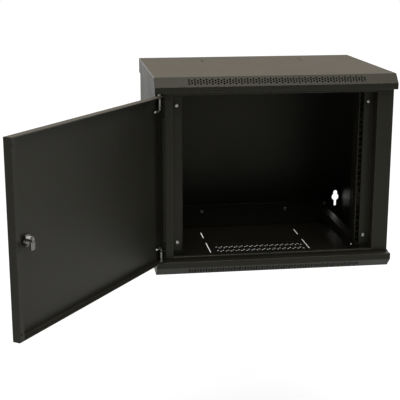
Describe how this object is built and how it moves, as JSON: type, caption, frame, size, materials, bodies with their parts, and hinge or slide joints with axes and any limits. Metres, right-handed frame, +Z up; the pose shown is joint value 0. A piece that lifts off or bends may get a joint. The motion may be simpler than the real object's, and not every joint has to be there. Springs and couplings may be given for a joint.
{
  "type": "wall mount network cabinet",
  "caption": "Black sheet-steel wall cabinet for 19-inch equipment: folded covers with vented sloped fronts, posts, uprights, and a hinged front door with a cam lock.",
  "frame": {"origin": "centre of the cabinet's footprint, on the underside of the bottom cover", "axes": "+X to the right seen from the front, +Y from the door side to the wall, +Z up"},
  "size_m": [0.9322, 0.9265, 0.495],
  "materials": {
    "black_powder_coat": "fine-textured satin black powder coat on folded steel sheet",
    "zinc_plate": "bright zinc plating",
    "nickel_plate": "polished nickel-plated die casting",
    "spring_steel": "drawn spring wire"
  },
  "bodies": {
    "cabinet": {"bottom_cover": "black_powder_coat", "depth_rail_left_lower": "black_powder_coat", "depth_rail_left_upper": "black_powder_coat", "depth_rail_right_lower": "black_powder_coat", "depth_rail_right_upper": "black_powder_coat", "depth_rail_screws": "zinc_plate", "frame_rail_lower": "black_powder_coat", "frame_rail_upper": "black_powder_coat", "frame_screws": "zinc_plate", "front_post_left": "black_powder_coat", "front_post_right": "black_powder_coat", "rack_rail_left": "black_powder_coat", "rack_rail_right": "black_powder_coat", "rear_panel": "black_powder_coat", "rear_rail_lower": "black_powder_coat", "rear_rail_screws": "zinc_plate", "rear_rail_upper": "black_powder_coat", "side_panel_left": "black_powder_coat", "side_panel_right": "black_powder_coat", "top_cover": "black_powder_coat", "upright_screws": "zinc_plate"},
    "lock_cylinder": {"lock_plug": "nickel_plate", "lock_cam": "zinc_plate", "cam_screw": "zinc_plate"},
    "pin_top": {"hinge_pin_top": "zinc_plate", "pin_clip_top": "zinc_plate"},
    "pin_bottom": {"hinge_pin_bottom": "zinc_plate", "pin_clip_bottom": "zinc_plate"},
    "door": {"door_panel": "black_powder_coat", "lock_barrel": "nickel_plate", "lock_nut": "nickel_plate", "pin_guide_top": "black_powder_coat", "pin_guide_bottom": "black_powder_coat", "hinge_spring_top": "spring_steel", "hinge_spring_bottom": "spring_steel"}
  },
  "joints": [
    {"name": "door_hinge", "type": "hinge", "parent": "cabinet", "child": "door", "pos_m": [-0.2886, -0.217, 0.2461], "axis": [0, 0, 1], "range_deg": [-54.76, 125.24]},
    {"name": "lock_turn", "type": "hinge", "parent": "door", "child": "lock_cylinder", "pos_m": [-0.59441, -0.64987, 0.236], "axis": [-0.8167, 0.577, 0], "range_deg": [0, 90]},
    {"name": "top_pin_pull", "type": "slide", "parent": "door", "child": "pin_top", "axis": [0, 0, -1], "range_m": [0, 0.012], "stiffness_N_per_m": 300, "springref_m": -0.012, "deforming": ["hinge_spring_top"]},
    {"name": "bottom_pin_pull", "type": "slide", "parent": "door", "child": "pin_bottom", "axis": [0, 0, 1], "range_m": [0, 0.012], "stiffness_N_per_m": 300, "springref_m": -0.012, "deforming": ["hinge_spring_bottom"]}
  ]
}
